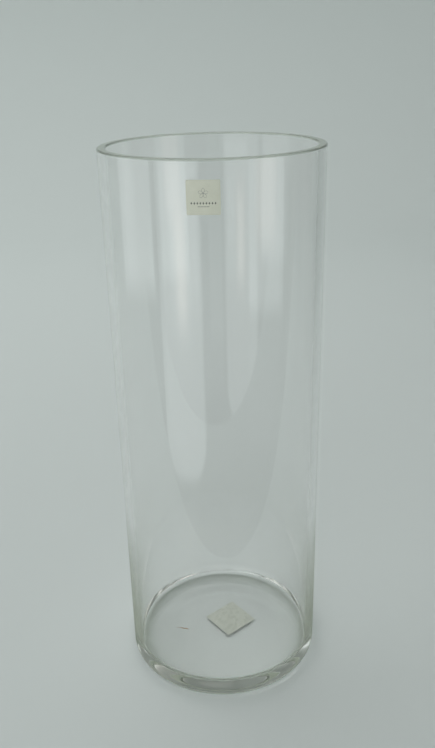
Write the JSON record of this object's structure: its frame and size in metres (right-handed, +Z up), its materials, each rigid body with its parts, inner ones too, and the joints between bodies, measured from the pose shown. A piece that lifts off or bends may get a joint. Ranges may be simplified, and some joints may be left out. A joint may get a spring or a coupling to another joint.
{
  "type": "glass cylinder vase",
  "caption": "Tall straight-sided clear glass vase with a thick floor, a fire-polished rim, a cream film label on the wall and a paper label under the base.",
  "frame": {"origin": "centre of the foot, on the surface that the vase stands on", "axes": "+Z up the axis of the cylinder to the open mouth; -Y is the front, the side that carries the wall label; +X to the right seen from the front"},
  "size_m": [0.15, 0.1501, 0.4],
  "materials": {
    "clear_glass": "polished clear soda-lime glass, grey-green where light runs a long way through it",
    "label_film": "matt cream label film, slightly translucent",
    "label_paper": "uncoated warm white label paper",
    "label_adhesive": "clear acrylic label adhesive"
  },
  "bodies": {
    "root": {"glass_vessel": "clear_glass", "front_label_film": "label_film", "front_label_adhesive": "label_adhesive", "base_label_paper": "label_paper", "base_label_adhesive": "label_adhesive"}
  },
  "joints": []
}
